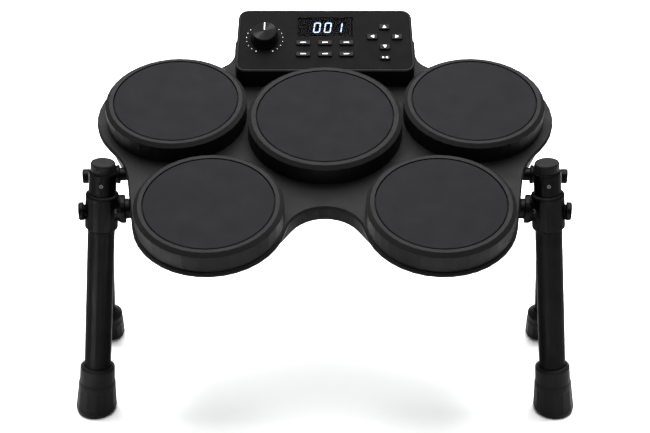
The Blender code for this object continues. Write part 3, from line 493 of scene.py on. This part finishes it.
def add_volume_marks(frame, materials, rotation, knob_axis):
    """Scale of dots on the face round the knob, and the pointer on the knob's disc."""
    face_top = top_of(frame["nodes"]["module_face"], rotation)
    on_axis = rotation.inverted() @ knob_axis
    on_face = rotation.inverted() @ face_top.translation
    base = Matrix.Translation(rotation @ Vector((on_axis.x, on_axis.y, on_face.z))) @ rotation
    dots = []
    for k in range(SCALE_DOTS):
        angle = SCALE_STEP * (k - (SCALE_DOTS - 1) / 2.0)
        at_end = k in (0, SCALE_DOTS - 1)
        radius = SCALE_END_DOT_RADIUS if at_end else SCALE_DOT_RADIUS
        dots.append(shifted(dot(radius), SCALE_RADIUS * math.sin(angle), SCALE_RADIUS * math.cos(angle)))
    add_mark("volume_scale", dots, base, "deck", materials["marking"])
    disc = top_of(frame["nodes"]["volume_knob_disc"], rotation)
    length = (POINTER_END - POINTER_START) / 2.0
    line = shifted(rectangle(POINTER_HALF_WIDTH, length), 0.0, POINTER_START + length)
    add_mark("volume_pointer", [turned(line, POINTER_TURN)], disc, "volume_knob", materials["marking"])


def add_button_marks(frame, materials, rotation):
    """Arrows on the four arrow buttons, a play and pause sign, and plain bars on the function buttons."""
    for name, turn in ARROW_TURNS.items():
        button = f"button_{name}"
        arrow = turned(triangle(ARROW_HALF_BASE, ARROW_LENGTH), math.radians(turn))
        place = top_of(frame["nodes"][button], rotation)
        add_mark(f"legend_{name}", [arrow], place, button, materials["marking"])
    sign = [shifted(turned(triangle(PLAY_HALF_HEIGHT, PLAY_LENGTH), math.radians(-90.0)), -PLAY_SHIFT)]
    for u in PAUSE_BAR_PLACES:
        sign.append(shifted(rectangle(PAUSE_BAR_HALF_WIDTH, PLAY_HALF_HEIGHT), u))
    place = top_of(frame["nodes"]["button_play"], rotation)
    add_mark("legend_play", sign, place, "button_play", materials["marking"])
    for name in sorted(frame["nodes"]):
        if name.startswith("button_function_"):
            bar = pill(LEGEND_HALF_LENGTH, LEGEND_HALF_HEIGHT)
            place = top_of(frame["nodes"][name], rotation)
            add_mark(name.replace("button", "legend"), [bar], place, name, materials["marking"])


def segment_outline(start, end):
    """Six-sided segment between two corners of a digit, drawn short of both."""
    a = Vector((start[0] * DIGIT_HALF_WIDTH, start[1] * DIGIT_HALF_HEIGHT))
    b = Vector((end[0] * DIGIT_HALF_WIDTH, end[1] * DIGIT_HALF_HEIGHT))
    along = (b - a).normalized()
    side = Vector((-along.y, along.x)) * SEGMENT_HALF_WIDTH
    step = along * SEGMENT_HALF_WIDTH
    a = a + along * SEGMENT_GAP
    b = b - along * SEGMENT_GAP
    corners = [a, a + step - side, b - step - side, b, b - step + side, a + step + side]
    return [(corner.x + corner.y * DIGIT_SLANT, corner.y) for corner in corners]


def add_digits(frame, materials, rotation):
    """Lit seven-segment digits on the display behind the window."""
    outlines = []
    for k, digit in enumerate(DIGITS):
        middle = DIGIT_SHIFT + DIGIT_PITCH * (k - (len(DIGITS) - 1) / 2.0)
        for segment in LIT[digit]:
            outlines.append(shifted(segment_outline(*SEGMENTS[segment]), middle, DIGIT_RISE))
    place = top_of(frame["nodes"]["digit_display"], rotation)
    add_mark("lit_digits", outlines, place, "deck", materials["display_glow"])


# Small screws

def screw_loops():
    """Rings of a screw's head from its root round the rim down to the floor of its six-sided socket."""
    sizes = (
        (SCREW_RADIUS, -SCREW_ROOT, SCREW_SIDES),
        (SCREW_RADIUS, SCREW_RISE - SCREW_EDGE, SCREW_SIDES),
        (SCREW_RADIUS - SCREW_EDGE, SCREW_RISE, SCREW_SIDES),
        (SOCKET_RADIUS, SCREW_RISE, 6),
        (SOCKET_RADIUS, SCREW_RISE - SOCKET_DEPTH, 6),
    )
    loops = []
    for radius, z, sides in sizes:
        loop = []
        for k in range(SCREW_SIDES):
            angle = 2.0 * math.pi * k / SCREW_SIDES
            sector = math.pi / sides
            flat = radius * math.cos(sector) / math.cos(angle % (2.0 * sector) - sector)
            reach = flat if sides == 6 else radius
            loop.append((reach * math.cos(angle), reach * math.sin(angle), z))
        loops.append(loop)
    return loops


def add_screw(name, node, axis_point, outward, body, material):
    """Socket screw let into a node where a line from its axis leaves the surface."""
    outward = outward.normalized()
    hit, place, _, _ = node.ray_cast(axis_point + outward * SCREW_REACH, -outward)
    if not hit:
        raise RuntimeError(f"{name} has no surface to sit on")
    bm = bmesh.new()
    rings = [[bm.verts.new(point) for point in loop] for loop in screw_loops()]
    for low, high in zip(rings, rings[1:]):
        for i in range(SCREW_SIDES):
            j = (i + 1) % SCREW_SIDES
            bm.faces.new((low[i], low[j], high[j], high[i]))
    bm.faces.new(list(reversed(rings[0])))
    bm.faces.new(rings[-1])
    mesh = bpy.data.meshes.new(name)
    bm.to_mesh(mesh)
    bm.free()
    mesh.materials.append(material)
    screw = bpy.data.objects.new(name, mesh)
    bpy.context.scene.collection.objects.link(screw)
    screw.matrix_world = Matrix.Translation(place) @ outward.to_track_quat("Z", "Y").to_matrix().to_4x4()
    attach(screw, body)


def add_screws(frame, materials):
    """One screw on each front tube above its clamp, and one on the hub of that clamp."""
    for side, inward in (("left", 1.0), ("right", -1.0)):
        leg = f"front_{side}"
        swing = find_joint(frame, f"swing_{leg}")
        height = find_joint(frame, f"height_{leg}")
        middle = Vector(swing["pos_m"])
        along = Vector(height["axis"]).normalized()
        across = Vector(swing["axis"]).normalized() * inward
        toward = Vector((0.0, -1.0, 0.0))
        tube = frame["nodes"][f"leg_tube_{leg}"]
        point = middle + along * TUBE_SCREW_PLACE
        outward = toward - along * toward.dot(along)
        add_screw(f"tube_screw_{side}", tube, point, outward, height["child"], materials["screw_steel"])
        clamp = frame["nodes"][f"clamp_{leg}"]
        toward = Vector((0.0, -math.cos(HUB_SCREW_TILT), math.sin(HUB_SCREW_TILT)))
        point = middle + across * HUB_SCREW_PLACE
        outward = toward - across * toward.dot(across)
        add_screw(f"hub_screw_{side}", clamp, point, outward, swing["child"], materials["screw_steel"])


# Stage

def add_floor():
    """Wide pale floor that fills the view."""
    bm = bmesh.new()
    bmesh.ops.create_grid(bm, x_segments=8, y_segments=8, size=FLOOR_HALF)
    mesh = bpy.data.meshes.new("studio_floor")
    bm.to_mesh(mesh)
    bm.free()
    mesh.materials.append(studio_floor())
    floor = bpy.data.objects.new("studio_floor", mesh)
    bpy.context.scene.collection.objects.link(floor)


def aim_at(thing, target):
    """Turn a camera or light to look at a point."""
    direction = Vector(target) - thing.location
    thing.rotation_euler = direction.to_track_quat("-Z", "Y").to_euler()


def add_light(name, sizes):
    """Soft rectangular light."""
    light = bpy.data.lights.new(name, "AREA")
    light.shape = "RECTANGLE"
    light.size, light.size_y = sizes["size"]
    light.energy = sizes["power"]
    lamp = bpy.data.objects.new(name, light)
    bpy.context.scene.collection.objects.link(lamp)
    lamp.location = sizes["place"]
    aim_at(lamp, sizes["aim"])


def add_floor_lamps():
    """Narrow lamps that shine straight down, each laid out along a line on the floor."""
    for name, sizes in FLOOR_LAMPS.items():
        light = bpy.data.lights.new(name, "AREA")
        light.shape = "RECTANGLE"
        light.size, light.size_y = FLOOR_LAMP_SIZE
        light.spread = FLOOR_LAMP_SPREAD
        light.energy = sizes["power"]
        lamp = bpy.data.objects.new(name, light)
        bpy.context.scene.collection.objects.link(lamp)
        lamp.location = (*sizes["place"], FLOOR_LAMP_HEIGHT)
        lamp.rotation_euler = (0.0, 0.0, sizes["turn"])


def add_world():
    """Even pale surroundings."""
    world = bpy.data.worlds.new("studio")
    world.use_nodes = True
    background = world.node_tree.nodes["Background"]
    background.inputs["Color"].default_value = (*WORLD_COLOR, 1.0)
    background.inputs["Strength"].default_value = WORLD_STRENGTH
    bpy.context.scene.world = world


def add_camera():
    """Camera at the photograph's angle."""
    data = bpy.data.cameras.new("camera")
    data.lens = CAMERA_LENS
    data.clip_start = 0.05
    camera = bpy.data.objects.new("camera", data)
    bpy.context.scene.collection.objects.link(camera)
    back = Vector((0.0, -math.cos(CAMERA_PITCH), math.sin(CAMERA_PITCH)))
    camera.location = Vector(CAMERA_AIM) + back * CAMERA_DISTANCE
    aim_at(camera, CAMERA_AIM)
    bpy.context.scene.camera = camera


def add_stage():
    bpy.context.scene.view_settings.view_transform = "Standard"
    add_floor()
    add_world()
    add_light("top_light", TOP_LIGHT)
    add_light("upper_light", UPPER_LIGHT)
    add_light("left_light", LEFT_LIGHT)
    add_light("right_light", RIGHT_LIGHT)
    add_floor_lamps()
    add_camera()


def corners(bounds):
    """A box as plain lists of numbers."""
    return [[float(value) for value in corner] for corner in bounds]


def main():
    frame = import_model()
    volume = find_joint(frame, "volume_turn")
    normal = Vector(volume["axis"]).normalized()
    knob_axis = Vector(volume["pos_m"])
    rotation = face_rotation(normal)
    # Diameter of the knob's disc along which the painted sheen lies
    sheen = rotation @ Vector((math.cos(PAINTED_SHEEN_TURN), math.sin(PAINTED_SHEEN_TURN), 0.0))
    materials = make_materials(knob_axis, normal, sheen)
    dress_nodes(frame, materials)
    add_volume_marks(frame, materials, rotation, knob_axis)
    add_button_marks(frame, materials, rotation)
    add_digits(frame, materials, rotation)
    add_screws(frame, materials)
    add_stage()


main()
